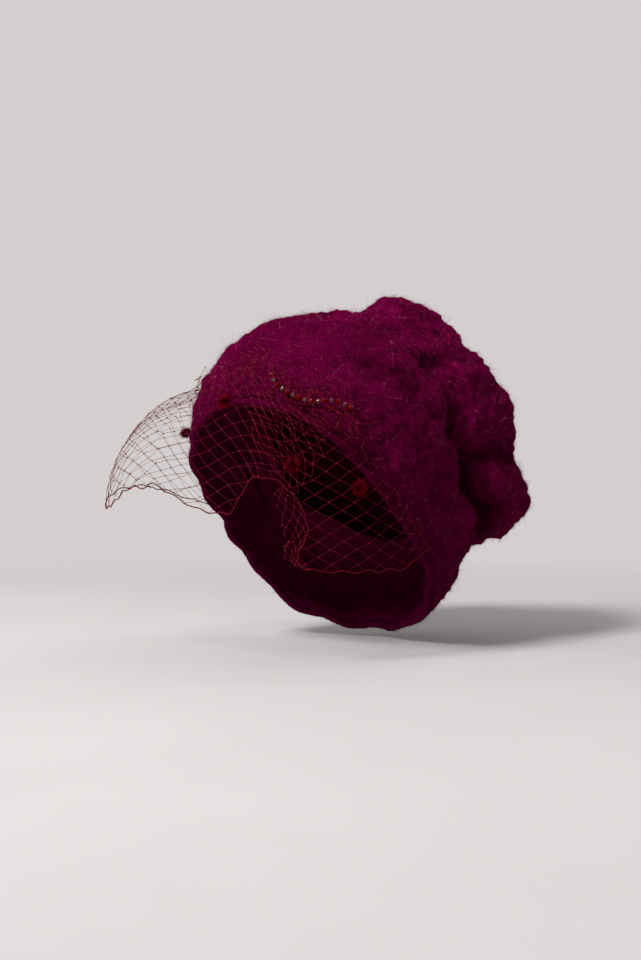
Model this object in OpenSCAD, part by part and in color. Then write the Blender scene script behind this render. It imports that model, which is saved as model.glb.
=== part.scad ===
// Slouchy knitted beret with a birdcage veil and a string of beads.
// The frame is the head's: -Y is the brow, +X the wearer's left, +Z up, origin between the ears.

/* [Knitted cap] */
// Width of the fitted part over the ears
cap_w = 172; // [150:1:190]
// Length of the fitted part from brow to back of head
cap_l = 204; // [185:1:225]
// Height of the top of the fitted part above the ears
cap_top = 111; // [100:1:125]
// Width of the nape part
nape_w = 160; // [145:1:170]
// Thickness of the mohair knit
knit_t = 4; // [3:0.5:5]
// Tightness of the creases where two swells meet, small is sharp
crease = 5; // [4:0.5:8]

/* [Hem] */
// Height of the hem over the brow
hem_front_z = 50; // [40:1:60]
// Height of the hem at the nape
hem_nape_z = -108; // [-115:1:-95]
// How far the hem dips over the ears
hem_ear_dip = 23; // [10:1:30]
// Share by which the hem draws in at the nape
nape_draw = 0.42; // [0.3:0.02:0.5]
// Diameter of the rolled cast-on edge
hem_roll_d = 4.4; // [3:0.2:6]

/* [Slouched crown] */
// Width of the slouched crown
slouch_w = 184; // [170:1:196]
// Distance from the ears back to the end of the slouched crown
slouch_back = 129; // [120:1:138]
// Height of the slouched crown's top above the ears
slouch_top = 127; // [119:1:133]
// Depth of the tuck between the fitted part and the slouched crown, behind the ears
tuck_depth = 22; // [12:1:24]
// Half width of that tuck
tuck_w = 9; // [8:1:14]
// Depth of the lesser folds
fold_depth = 8; // [3:1:10]

/* [Relief of the knit] */
// Number of soft cables round the crown
cables = 18; // [14:1:20]
// Height of a cable
cable_h = 2.4; // [1.5:0.1:3.5]
// Height of the soft lumps of the brushed knit
lump_h = 1.1; // [0.5:0.1:1.5]
// Distance from lump to lump
lump_l = 32; // [26:1:40]

/* [Veil] */
// Thickness of a strand of the netting
strand_d = 0.7; // [0.5:0.1:1]
// Diameter of the cord along the veil's lower edge
border_d = 1.4; // [1:0.1:2]
// Half cells of netting from ear to ear
net_cols = 36; // [36:2:40]
// Half cells of netting from the hat down to the border
net_rows = 13; // [9:2:15]
// How far the border stands out from the head's centre in front of the nose
border_front_r = 122; // [116:1:130]
// The same at the far wing, which flares
border_wing_r = 156; // [140:1:160]
// The same beside the ears
border_ear_r = 87; // [86:1:95]
// Height of the near wing's border
near_border_z = -56; // [-65:1:-45]
// Mean height of the far wing's border
far_border_z = -12; // [-20:1:-5]
// Height of the ruffle of netting on the hat
ruffle_h = 30; // [20:1:36]
// Diameter of a chenille dot
dot_d = 10; // [8:0.5:12]

/* [Beads] */
// Diameter of a red bead
red_bead_d = 4; // [3:0.25:4.5]
// Diameter of a crystal bead
crystal_bead_d = 3; // [2.25:0.25:3.5]
// Distance from bead to bead
bead_pitch = 4.1; // [4:0.1:5]
// Diameter of the bead thread
thread_d = 0.5; // [0.4:0.05:0.6]
// Clearance between a soft piece and what it lies on
seat = 0.3; // [0.2:0.05:0.4]

/* [Hidden] */

// Every point of the knit is a reach from this centre, in some direction
centre = [0, 0.05 * cap_l, 0.07 * cap_top];
// Direction of the crown's middle, where the last stitches are drawn together
crown_axis = [0.10, 0.90, 0.42];

// A place or size as shares of the fitted part, and of the slouched crown
function fitted(x, y, z) = [x * cap_w, y * cap_l, z * cap_top];
function slouch(x, y, z) = [x * slouch_w, y * slouch_back, z * slouch_top];

// The swells of the cap, each a middle and three half sizes
forms = [
    [fitted(0, -0.04, 0.135), fitted(0.5, 0.5, 0.865)],
    [fitted(-0.09, -0.15, 0.315), fitted(0.35, 0.295, 0.595)],
    [fitted(0, 0.05, -0.306), [nape_w / 2, 0.4 * cap_l, 0.72 * cap_top]],
    [slouch(0.01, 0.47, 0.205), slouch(0.5, 0.53, 0.59)],
    [slouch(0.065, 0.465, 0.6), slouch(0.22, 0.43, 0.4)],
    [slouch(0.25, 0.38, 0.385), slouch(0.24, 0.45, 0.345)],
    [slouch(0.24, 0.495, -0.055), slouch(0.315, 0.465, 0.345)],
    [slouch(-0.25, 0.465, 0.345), slouch(0.28, 0.465, 0.425)],
    [slouch(-0.24, 0.465, 0.015), slouch(0.28, 0.45, 0.345)]
];

// Lesser folds, each a start, an end, its share of fold_depth and its half width
folds = [
    [fitted(0.49, 0.13, 0.14), fitted(0.53, 0.45, 0.11), 1, 10],
    [fitted(0.36, 0.04, 0.72), fitted(0.45, 0.3, 0.72), 1, 10],
    [fitted(0.45, -0.08, 0.49), fitted(0.33, -0.28, 0.65), 0.5, 11],
    [fitted(-0.49, 0.17, 0.22), fitted(-0.46, 0.45, 0.18), 0.8, 10]
];

// Four columns to a cable
body_cols = 4 * cables;
fitted_rows = 8;
slouch_rows = 14;

function unit(v) = v / norm(v);
function mix(a, b, t) = a + (b - a) * t;
function clamp(x, low, high) = min(max(x, low), high);
function smooth(x) = let (c = clamp(x, 0, 1)) c * c * (3 - 2 * c);
function over(a, b) = [a[0] / b[0], a[1] / b[1], a[2] / b[2]];
function sum(list, i = 0) = i == len(list) ? 0 : list[i] + sum(list, i + 1);
function flat(lists) = [for (l = lists) each l];
// Angle between two directions, safe against rounding
function angle(a, b) = acos(clamp(a * b, -1, 1));
// Great-circle step from direction a to direction b
function turn(a, b, t) = let (w = angle(a, b)) (a * sin((1 - t) * w) + b * sin(t * w)) / sin(w);

// Reach of one form in direction d, with its half sizes less by an inset
function reach_of(f, d, inset) =
    let (s = f[1] - [inset, inset, inset], o = over(centre - f[0], s), v = over(d, s))
    let (a = v * v, b = v * o, c = o * o - 1)
    (-b + sqrt(max(b * b - a * c, 0))) / a;

// Distance from direction d to the arc between two points, as an angle in radians
function arc_gap(d, p, q) =
    let (a = unit(p - centre), b = unit(q - centre), ab = b - a)
    let (t = clamp((d - a) * ab / (ab * ab), 0, 1))
    [norm(d - a - ab * t), t];

// Depth of the lesser folds in direction d, at reach r
function fold_at(d, r) = sum([for (f = folds)
    let (g = arc_gap(d, f[0], f[1]), x = g[0] * r / f[3])
    f[2] * fold_depth * exp(-x * x) * smooth(3 * min(g[1] + 0.15, 1.15 - g[1]))]);

// Soft lumps: a few long waves that cross in evenly spread directions
lump_n = 8;
lump_waves = [for (i = [0 : lump_n - 1])
    let (z = 1 - (2 * i + 1) / lump_n, a = 137.5 * i, c = sqrt(1 - z * z))
    [c * cos(a), c * sin(a), z] * 360 / (lump_l * (0.8 + 0.5 * ((0.618 * i) % 1)))];
function lump_at(p) =
    lump_h * sum([for (i = [0 : lump_n - 1]) sin(lump_waves[i] * p + 222 * i)]) * sqrt(2 / lump_n);

// Smooth union of all forms in direction d, with the lumps, less the lesser folds
function smooth_reach(d, inset) =
    let (list = [for (f = forms) reach_of(f, d, inset)], top = max(list))
    let (r = top + crease * ln(sum([for (x = list) exp((x - top) / crease)])))
    r - fold_at(d, r) + lump_at(centre + d * r);

// How far the hem droops behind the ears
hem_lobe = 36;
// Hem at angle phi from the brow, towards the wearer's left
function hem_z(phi) =
    mix(hem_nape_z, hem_front_z, (1 + cos(phi)) / 2) - hem_ear_dip * pow(sin(phi), 4)
    - hem_lobe * max(0, -cos(phi)) * pow(sin(phi), 2);
function hem_draw(phi) = 1 - nape_draw * (1 - cos(180 * clamp((abs(phi) - 72) / 80, 0, 1))) / 2;
function hem_aim(phi) =
    let (k = hem_draw(phi))
    [k * cap_w / 2 * 0.91 * sin(phi), k * cap_l * (-0.025 - 0.465 * cos(phi)), hem_z(phi)];
function hem_dir(phi) = unit(hem_aim(phi) - centre);

// Tuck round the fitted part: over the top of the head, behind the ears and across the back
function tuck_dir(phi) = unit(fitted(
    0.5 * sin(phi),
    0.245 - 0.18 * cos(phi) - 0.137 * pow(sin(phi), 2) * (1 + 0.35 * cos(phi))
        - 0.07 * exp(-pow((abs(phi) - 112) / 22, 2)),
    0.225 + 0.785 * cos(phi)) - centre);
// Over the top of the head the tuck is shallow
function tuck_at(phi) = tuck_depth * (0.3 + 0.7 * smooth((abs(phi) - 60) / 55));

// Direction at row v, 0 at the hem, 1 in the tuck and 2 at the crown's middle
function knit_dir(phi, v) = v <= 1 ? turn(hem_dir(phi), tuck_dir(phi), v)
    : turn(tuck_dir(phi), unit(crown_axis), v - 1);
function knit_at(phi, v, inset = 0, lift = 0) =
    let (d = unit(knit_dir(phi, v)), r = smooth_reach(d, inset))
    let (x = angle(d, tuck_dir(phi)) * PI / 180 * r / tuck_w)
    centre + d * (r - tuck_at(phi) * exp(-x * x) + lift);
// Columns stand closer at the back, where the folds are
function col_phi(i, n) = let (a = 360 * i / n - 180) a + 20 * sin(a);
function row_v(j) = j <= fitted_rows ? j / fitted_rows : 1 + (j - fitted_rows) / slouch_rows;
body_rows = fitted_rows + slouch_rows;
// The cables rise on the outside, from the middle of the fitted part to the crown's middle
function cable_at(i, v) = cable_h * (1 - cos(360 * cables * i / body_cols)) / 2
    * smooth((v - 0.6) / 0.35) * smooth((2 - v) / 0.25);

// Point over the knit in the direction of p, standing off by a given gap
function on_knit(p, gap) =
    let (d = unit(p - centre)) centre + d * (smooth_reach(d, 0) + gap);

// Tube of given radius along points, round when closed is true
module tube(points, r, sides, closed = false) {
    n = len(points);
    last = n - 1;
    rings = [for (i = [0 : last])
        let (before = closed ? points[(i + last) % n] : points[max(i - 1, 0)])
        let (after = closed ? points[(i + 1) % n] : points[min(i + 1, last)])
        let (t = unit(after - before), out = points[i] - centre)
        let (side = unit(cross(t, out)), up = cross(side, t))
        [for (k = [0 : sides - 1])
            points[i] + r * (side * cos(360 * k / sides) + up * sin(360 * k / sides))]];
    walls = [for (i = [0 : closed ? last : last - 1], k = [0 : sides - 1])
        let (a = i * sides, b = ((i + 1) % n) * sides, m = (k + 1) % sides)
        each [[a + k, b + k, b + m], [a + k, b + m, a + m]]];
    caps = closed ? [] : [for (k = [1 : sides - 2])
        each [[0, k, k + 1], [last * sides, last * sides + k + 1, last * sides + k]]];
    polyhedron(flat(rings), concat(walls, caps), convexity = 10);
}

// One skin of the knit as rings of points, the crown's middle last
function skin(inset) = concat(
    [for (j = [0 : body_rows - 1], i = [0 : body_cols - 1])
        let (v = row_v(j))
        knit_at(col_phi(i, body_cols), v, inset, inset > 0 ? 0 : cable_at(i, v))],
    [knit_at(0, 2, inset)]);
function skin_faces(start, turned) =
    let (apex = start + body_rows * body_cols)
    [for (j = [0 : body_rows - 1], i = [0 : body_cols - 1])
        let (m = (i + 1) % body_cols, a = start + j * body_cols, b = a + body_cols)
        each (j == body_rows - 1
            ? [turned ? [a + i, apex, a + m] : [a + i, a + m, apex]]
            : turned ? [[a + i, b + i, b + m], [a + i, b + m, a + m]]
            : [[a + i, b + m, b + i], [a + i, a + m, b + m]])];

module knit_body() {
    inner = body_rows * body_cols + 1;
    rim = [for (i = [0 : body_cols - 1])
        let (m = (i + 1) % body_cols)
        each [[i, inner + m, inner + i], [i, m, inner + m]]];
    color("#7a1248")
        polyhedron(concat(skin(0), skin(knit_t)),
            concat(skin_faces(0, true), skin_faces(inner, false), rim), convexity = 10);
}

// The rolled edge lies under the hem, a seat's width below its rim
module hem_edge() {
    roll_r = hem_roll_d / 2;
    line = [for (i = [0 : body_cols - 1])
        let (a = knit_at(col_phi(i - 1, body_cols), 0), b = knit_at(col_phi(i + 1, body_cols), 0))
        let (phi = col_phi(i, body_cols), p = knit_at(phi, 0), q = knit_at(phi, 0, knit_t))
        let (n = unit(cross(b - a, q - p)), down = n * (p - knit_at(phi, row_v(1))) > 0 ? n : -n)
        (p + q) / 2 + down * (1.1 * roll_r + seat)];
    color("#6b0f40") tube(line, roll_r, 6, true);
}

// Places its children on the crown's middle, clear of the highest of the knit round it
module at_crown() {
    ring = [for (i = [0 : 2]) knit_at(120 * i, row_v(body_rows - 1))];
    n = unit(cross(ring[1] - ring[0], ring[2] - ring[0]));
    a = n * crown_axis > 0 ? n : -n;
    top = knit_at(0, 2);
    near = [for (i = [0 : body_cols - 1])
        let (v = row_v(body_rows - 1)) knit_at(col_phi(i, body_cols), v, 0, cable_at(i, v)) - top];
    rise = max([for (p = near) let (h = p * a) h / norm(p - a * h) * gather_r]);
    translate(top + a * max(rise, 0)) rotate([0, acos(a[2]), atan2(a[1], a[0])]) children();
}

yarn_r = 1.5;
gather_r = 3 * yarn_r;
module crown_gather() {
    color("#6b0f40") at_crown() translate([0, 0, yarn_r + seat]) {
        rotate_extrude($fn = 40) translate([2 * yarn_r, 0]) circle(yarn_r, $fn = 20);
        translate([0, 0, yarn_r]) sphere(1.2 * yarn_r, $fn = 24);
    }
}

// Veil: phi runs from the far ear to the near one, t from the hat (0) to the border (1)
far_phi = -92;
near_phi = 76;
wing_phi = -55;
net_gap = 1.6;
// The far side of the veil stands a little further off, so that it clears the knit when lifted
far_lift = 3;

// Height at which the netting is tacked to the hat, a little lower under the beads
function tack_z(phi) =
    (phi > 0 ? hem_z(phi) + 6 : hem_front_z + 6 - 26 * pow(phi / far_phi, 4))
    - 4 * exp(-pow((phi - 24) / 12, 2));
function cap_side(phi, z) =
    let (k = sqrt(1 - pow((z / cap_top - 0.135) / 0.865, 2)))
    fitted(k / 2 * sin(phi), -0.04 - k / 2 * cos(phi), z / cap_top);
function tack_at(phi) =
    on_knit(cap_side(phi, tack_z(phi)), net_gap + 0.6 + far_lift * smooth((-phi - 15) / 40));

// Stand-off and height of the border
function border_r(phi) = phi >= 0 ? mix(border_ear_r, border_front_r, pow(cos(phi), 4.5))
    : phi > wing_phi ? mix(border_front_r, border_wing_r, pow(sin(90 * phi / wing_phi), 1.5))
    : mix(border_ear_r + 4, border_wing_r, cos(90 * (wing_phi - phi) / (wing_phi - far_phi)));
function border_z(phi) =
    let (far = far_border_z + 7 * cos(360 * (phi + 27) / 42))
    let (bump = exp(-pow((phi - 12) / 7, 2)))
    mix(near_border_z, far, smooth((26 - phi) / 8)) + 6 * bump
    + 12 * smooth((phi - 60) / 16);
function border_at(phi) =
    let (r = border_r(phi)) [r * sin(phi), -r * cos(phi), border_z(phi)];

// Point of the veil: an outward arc from the tacks to the border, with upright flutes
function veil_at(phi, t) =
    let (a = tack_at(phi), b = border_at(phi))
    let (out = [sin(phi), -cos(phi), 0])
    let (m = [mix(a[0], b[0], 0.8), mix(a[1], b[1], 0.8), mix(a[2], b[2], 0.2)] + out * 7)
    let (flute = 2.2 * sin(phi * 11) * t * smooth((abs(far_phi) - abs(phi)) / 12))
    a * (1 - t) * (1 - t) + m * 2 * t * (1 - t) + b * t * t + out * flute;

// The ruffle lies close on the knit, in shallow waves
ruffle_gap = 1.5;
ruffle_wave = 0.8;
// Ruffle on the hat: t runs from the tack line (0) up the knit (1)
function ruffle_at(phi, t) =
    let (p = cap_side(phi, min(tack_z(phi) + 3 + t * ruffle_h, cap_top - 6)))
    on_knit(p, ruffle_gap + ruffle_wave * (1 + sin(phi * 13)) / 2);

// Netting of diamond cells: a knot is a small back square with a ridge point in front,
// and a strand joins the facing sides of two knots
// mode 0 is the veil, mode 1 the ruffle
function net_point(mode, phi, t) = mode == 0 ? veil_at(phi, t) : ruffle_at(phi, t);
module netting(mode, phi_list, rows) {
    cols = len(phi_list) - 1;
    half = 0.62 * strand_d;
    step = 0.02;
    knots = [for (k = [0 : rows], j = [0 : cols]) if ((k + j) % 2 == 0) [k, j]];
    index = [for (k = [0 : rows]) [for (j = [0 : cols])
        floor((k * (cols + 1) + 1) / 2) + floor(j / 2)]];
    points = flat([for (q = knots)
        let (phi = phi_list[q[1]], t = q[0] / rows, p = net_point(mode, phi, t))
        let (e = unit(net_point(mode, phi + 0.5, t) - net_point(mode, phi - 0.5, t)))
        let (lean = net_point(mode, phi, t + step) - net_point(mode, phi, t - step))
        let (s = unit(lean) * (mode == 0 ? 1 : -1), n = unit(cross(e, s)) * -1)
        [p + e * half, p - s * half, p - e * half, p + s * half, p - n * strand_d]]);
    faces = flat([for (i = [0 : len(knots) - 1])
        let (k = knots[i][0], j = knots[i][1], a = i * 5)
        let (right = j < cols, left = j > 0, up = mode == 0 ? k > 0 : k < rows)
        let (down = mode == 0 ? k < rows : k > 0, dk = mode == 0 ? 1 : -1)
        let (se = down && right ? index[k + dk][j + 1] * 5 : -1)
        let (sw = down && left ? index[k + dk][j - 1] * 5 : -1)
        concat(
            [[a, a + 2, a + 1], [a, a + 3, a + 2]],
            up && right ? [] : [[a, a + 1, a + 4]],
            up && left ? [] : [[a + 1, a + 2, a + 4]],
            se < 0 ? [[a + 3, a, a + 4]] : [
                [a + 3, a, se + 1], [a + 3, se + 1, se + 2],
                [a, a + 4, se + 4], [a, se + 4, se + 1],
                [a + 3, se + 2, se + 4], [a + 3, se + 4, a + 4]],
            sw < 0 ? [[a + 2, a + 3, a + 4]] : [
                [a + 2, a + 3, sw], [a + 2, sw, sw + 1],
                [a + 3, a + 4, sw + 4], [a + 3, sw + 4, sw],
                [a + 2, sw + 1, sw + 4], [a + 2, sw + 4, a + 4]])]);
    polyhedron(points, faces, convexity = 20);
}

// Columns of one panel, its two outer ones drawn in so that panels stay clear of each other
panel_cols = [0, 8, 14, 22, 30, net_cols];
function net_phi(j) = mix(far_phi, near_phi, j / net_cols);
function panel_phis(a, b) = [for (j = [a : b])
    net_phi(j) + (j == a && a > 0 ? 0.4 : 0) - (j == b && b < net_cols ? 0.4 : 0)];
module veil_panel(a, b) {
    color("#8e1a2c") netting(0, panel_phis(a, b), net_rows);
}

module veil_far_side() { veil_panel(panel_cols[0], panel_cols[1]); }
module veil_far_wing() { veil_panel(panel_cols[1], panel_cols[2]); }
module veil_nose_fold() { veil_panel(panel_cols[2], panel_cols[3]); }
module veil_near_wing() { veil_panel(panel_cols[3], panel_cols[4]); }
module veil_near_side() { veil_panel(panel_cols[4], panel_cols[5]); }

ruffle_cols = 26;
module veil_ruffle() {
    color("#8e1a2c")
        netting(1, [for (j = [0 : ruffle_cols]) mix(-56, 60, j / ruffle_cols)], 4);
}

// Border cord: it zigzags a little below the last knots
function border_line(a, b) = [for (j = [2 * a : 2 * b])
    let (low = j == 2 * a && a > 0 ? 0.5 : 0, high = j == 2 * b && b < net_cols ? 0.5 : 0)
    let (phi = net_phi(j / 2) + low - high)
    let (e = unit(veil_at(phi + 0.5, 1) - veil_at(phi - 0.5, 1)))
    let (s = veil_at(phi, 1) - veil_at(phi, 0.97), w = unit(s - e * (e * s)))
    veil_at(phi, 1) + w * (border_d / 2 + 0.62 * strand_d + seat + 0.9 * pow(cos(45 * j), 2))];
module border(a, b) {
    color("#6d0f1e") tube(border_line(a, b), border_d / 2, 6);
}
module border_far() { border(panel_cols[0], panel_cols[1]); }
module border_front() { border(panel_cols[1], panel_cols[4]); }
module border_near() { border(panel_cols[4], panel_cols[5]); }

// Chenille dot on the outside of the netting at phi, t
module dot_at(phi, t) {
    p = veil_at(phi, t);
    e = unit(veil_at(phi + 0.5, t) - veil_at(phi - 0.5, t));
    s = unit(veil_at(phi, t + 0.02) - veil_at(phi, t - 0.02));
    n = cross(s, e) * -1;
    out = n * (p - centre) > 0 ? n : -n;
    color("#8c1016")
        translate(p + out * (0.3 * strand_d + seat))
            rotate([0, acos(out[2]), atan2(out[1], out[0])])
                rotate_extrude($fn = 36) dot_profile();
}
module dot_profile() {
    r = dot_d / 2;
    intersection() {
        translate([0, 0.35 * r]) circle(r, $fn = 36);
        square([r, 1.3 * r]);
    }
}
module dot_near() { dot_at(44, 0.55); }
module dot_nose() { dot_at(21.5, 0.65); }
module dot_brow() { dot_at(-2.5, 0.26); }
module dot_far() { dot_at(-78, 0.38); }

// Bead string: it hangs in two swags between the places where it is sewn down
bead_marks = [[19, -96, 68], [20, -99, 62], [25, -100, 57], [31, -99, 53], [38, -98, 50],
    [44, -96, 48], [49, -91, 47], [54, -87, 48], [59, -81, 46], [63, -78, 43], [69, -69, 42]];
// The beads lie on the ruffle
bead_lift = ruffle_gap + strand_d + seat + red_bead_d / 2;
bead_ends = [for (p = bead_marks) on_knit(p, bead_lift)];

// Smooth curve through the marks
function curve(p, i, t) =
    let (a = p[max(i - 1, 0)], b = p[i], c = p[i + 1], d = p[min(i + 2, len(p) - 1)])
    0.5 * (2 * b + (c - a) * t + (2 * a - 5 * b + 4 * c - d) * t * t
        + (3 * b - a - 3 * c + d) * t * t * t);
fine = 10;
bead_path = [for (i = [0 : len(bead_ends) - 2], k = [0 : fine - 1]) curve(bead_ends, i, k / fine)];
function lengths(p, i = 1, at = 0, list = [0]) = i == len(p) ? list
    : let (s = at + norm(p[i] - p[i - 1])) lengths(p, i + 1, s, concat(list, s));
bead_run = lengths(bead_path);
function along(s, i = 0) = i >= len(bead_run) - 2 || bead_run[i + 1] > s
    ? mix(bead_path[i], bead_path[i + 1], (s - bead_run[i]) / (bead_run[i + 1] - bead_run[i]))
    : along(s, i + 1);
bead_count = floor((bead_run[len(bead_run) - 1] - 2 * bead_pitch) / bead_pitch);
red_len = 3.2;
crystal_len = 2.4;
function bead_s(i) = (i + 1.2) * bead_pitch;
function is_red(i) = i % 2 == 0;
function bead_half(i) = (is_red(i) ? red_len : crystal_len) / 2;
function bead_pair(i) =
    let (a = along(bead_s(i) - bead_half(i)), b = along(bead_s(i) + bead_half(i)))
    let (m = (a + b) / 2, d = unit(b - a)) [m - d * bead_half(i), m + d * bead_half(i)];

module bead(i, d, len) {
    pair = bead_pair(i);
    axis = unit(pair[1] - pair[0]);
    bore = thread_d / 2 + 0.15;
    translate(pair[0]) rotate([0, acos(axis[2]), atan2(axis[1], axis[0])])
        rotate_extrude($fn = 32)
            polygon([[bore, 0], [0.3 * d, 0], [d / 2, 0.3 * len], [d / 2, 0.7 * len],
                [0.3 * d, len], [bore, len]]);
}
module red_beads() {
    color("#a01018") for (i = [0 : bead_count - 1]) if (is_red(i)) bead(i, red_bead_d, red_len);
}
module crystal_beads() {
    color("#e8dce4")
        for (i = [0 : bead_count - 1]) if (!is_red(i)) bead(i, crystal_bead_d, crystal_len);
}
knot_r = 1.1;
module bead_thread() {
    first = along(knot_r + 0.2);
    last = along(bead_s(bead_count) - 0.2);
    color("#5a0c18")
        tube(concat([first], flat([for (i = [0 : bead_count - 1]) bead_pair(i)]), [last]),
            thread_d / 2, 6);
}
module bead_knots() {
    color("#5a0c18") {
        translate(along(0)) sphere(knot_r, $fn = 24);
        translate(along(bead_s(bead_count) + knot_r + 0.1)) sphere(knot_r, $fn = 24);
    }
}

// Tacks: short stitches that hold the gathered netting on the knit
tack_phis = [-56, -42, -28, -14, 0, 14, 28, 42, 56];
tack_r = 0.6;
hem_skin = [for (j = [0 : fitted_rows], i = [0 : body_cols - 1])
    knit_at(col_phi(i, body_cols), row_v(j))];
hem_facets = [for (j = [0 : fitted_rows - 1], i = [0 : body_cols - 1])
    let (a = j * body_cols + i, b = j * body_cols + (i + 1) % body_cols)
    each [[a, a + body_cols, b + body_cols], [a, b + body_cols, b]]];
// Distance from the centre to a facet in direction d, 0 where d misses it by more than a hair
function facet_hit(d, a, b, c) =
    let (u = b - a, v = c - a, n = cross(u, v), r = (a - centre) * n / (d * n))
    let (q = centre + d * r - a, uu = u * u, uv = u * v, vv = v * v)
    let (den = uv * uv - uu * vv, s = (uv * (q * v) - vv * (q * u)) / den)
    let (t = (uv * (q * u) - uu * (q * v)) / den)
    min(s, t, 1 - s - t) >= -0.001 && r > 0 ? r : 0;
module veil_tacks() {
    color("#5a0c18") for (phi = tack_phis) {
        d = unit(tack_at(phi) - centre);
        r = max([for (f = hem_facets) facet_hit(d, hem_skin[f[0]], hem_skin[f[1]], hem_skin[f[2]])]);
        translate(centre + d * (r + seat + tack_r)) sphere(tack_r, $fn = 16);
    }
}

knit_body();
hem_edge();
crown_gather();
veil_ruffle();
veil_near_side();
veil_near_wing();
veil_nose_fold();
veil_far_wing();
veil_far_side();
border_near();
border_front();
border_far();
dot_near();
dot_nose();
dot_brow();
dot_far();
veil_tacks();
bead_thread();
red_beads();
crystal_beads();
bead_knots();
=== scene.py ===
import bpy
import math
import numpy as np
from mathutils import Matrix, Vector


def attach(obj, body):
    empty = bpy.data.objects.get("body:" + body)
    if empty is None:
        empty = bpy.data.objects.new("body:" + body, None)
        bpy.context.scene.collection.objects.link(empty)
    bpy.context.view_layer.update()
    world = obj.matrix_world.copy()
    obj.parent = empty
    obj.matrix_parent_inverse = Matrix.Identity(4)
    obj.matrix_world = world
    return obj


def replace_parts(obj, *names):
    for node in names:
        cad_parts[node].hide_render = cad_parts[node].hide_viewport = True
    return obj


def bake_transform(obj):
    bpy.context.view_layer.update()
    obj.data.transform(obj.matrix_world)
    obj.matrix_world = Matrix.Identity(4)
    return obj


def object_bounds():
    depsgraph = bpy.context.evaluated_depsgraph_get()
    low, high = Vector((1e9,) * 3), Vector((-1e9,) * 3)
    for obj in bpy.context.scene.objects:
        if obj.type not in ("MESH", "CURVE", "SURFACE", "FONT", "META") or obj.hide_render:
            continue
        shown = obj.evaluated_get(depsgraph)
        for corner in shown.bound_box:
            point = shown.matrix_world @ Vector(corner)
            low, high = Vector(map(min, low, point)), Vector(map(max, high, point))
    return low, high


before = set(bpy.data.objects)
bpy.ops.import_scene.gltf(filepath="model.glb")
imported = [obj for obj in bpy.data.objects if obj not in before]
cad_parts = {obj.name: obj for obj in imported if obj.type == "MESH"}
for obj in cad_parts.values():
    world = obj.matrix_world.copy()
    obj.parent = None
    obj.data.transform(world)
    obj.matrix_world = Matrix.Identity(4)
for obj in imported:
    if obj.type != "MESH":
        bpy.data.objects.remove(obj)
cad_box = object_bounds()

CAP, VEIL = "cap", "veil"
MM = 0.001

# -------------------- the cap's form, in mm
CAP_W, CAP_L, CAP_TOP, NAPE_W, KNIT_T, CREASE = 172.0, 204.0, 111.0, 160.0, 4.0, 5.0
HEM_FRONT, HEM_NAPE, EAR_DIP, HEM_LOBE, NAPE_DRAW = 50.0, -108.0, 23.0, 36.0, 0.42
SLOUCH_W, BACK, TOP = 184.0, 129.0, 127.0
TUCK_DEPTH, TUCK_W, FOLD_DEPTH = 22.0, 9.0, 8.0
CABLES, CABLE_H, LUMP_H, LUMP_L = 18, 2.4, 1.1, 32.0
CENTRE = np.array([0.0, 0.05 * CAP_L, 0.07 * CAP_TOP])
CROWN = np.array([0.10, 0.90, 0.42])


def fitted(x, y, z):
    return [x * CAP_W, y * CAP_L, z * CAP_TOP]


def slouch(x, y, z):
    return [x * SLOUCH_W, y * BACK, z * TOP]


# the form's swells: centre and half sizes
FORMS = [
    (fitted(0, -0.04, 0.135), fitted(0.5, 0.5, 0.865)),
    (fitted(-0.09, -0.15, 0.315), fitted(0.35, 0.295, 0.595)),
    (fitted(0, 0.05, -0.306), [NAPE_W / 2, 0.4 * CAP_L, 0.72 * CAP_TOP]),
    (slouch(0.01, 0.47, 0.205), slouch(0.5, 0.53, 0.59)),
    (slouch(0.065, 0.465, 0.6), slouch(0.22, 0.43, 0.4)),
    (slouch(0.25, 0.38, 0.385), slouch(0.24, 0.45, 0.345)),
    (slouch(0.24, 0.495, -0.055), slouch(0.315, 0.465, 0.345)),
    (slouch(-0.25, 0.465, 0.345), slouch(0.28, 0.465, 0.425)),
    (slouch(-0.24, 0.465, 0.015), slouch(0.28, 0.45, 0.345)),
]
# the folds: from, to, share of the depth, width
FOLDS = [
    (fitted(0.49, 0.13, 0.14), fitted(0.53, 0.45, 0.11), 1, 10),
    (fitted(0.36, 0.04, 0.72), fitted(0.45, 0.3, 0.72), 1, 10),
    (fitted(0.45, -0.08, 0.49), fitted(0.33, -0.28, 0.65), 0.5, 11),
    (fitted(-0.49, 0.17, 0.22), fitted(-0.46, 0.45, 0.18), 0.8, 10),
]


def unit(v):
    return v / np.maximum(np.linalg.norm(v, axis=-1, keepdims=True), 1e-12)


def circle(x, y, a):
    """Direction at an angle a from x towards y."""
    return x * np.cos(a)[..., None] + y * np.sin(a)[..., None]


def smooth(x):
    c = np.clip(x, 0, 1)
    return c * c * (3 - 2 * c)


def mix(a, b, t):
    return a + (b - a) * t


def cosd(p):
    return np.cos(np.radians(p))


def sind(p):
    return np.sin(np.radians(p))


LUMP_N = 8


def lump_wave(i):
    """Wave vector i of the lumps: directions spread evenly, lengths 0.8 to 1.3 of LUMP_L."""
    z = 1 - (2 * i + 1) / LUMP_N
    a = math.radians(137.5 * i)
    c = math.sqrt(1 - z * z)
    k = 2 * math.pi / (LUMP_L * (0.8 + 0.5 * ((0.618 * i) % 1)))
    return np.array([c * math.cos(a), c * math.sin(a), z]) * k


LUMPS = [lump_wave(i) for i in range(LUMP_N)]


def lump_at(p):
    """The soft lumps that the CAD solid has too."""
    swell = sum(np.sin(p @ k + math.radians(222 * i)) for i, k in enumerate(LUMPS))
    return LUMP_H * math.sqrt(2 / LUMP_N) * swell


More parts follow.
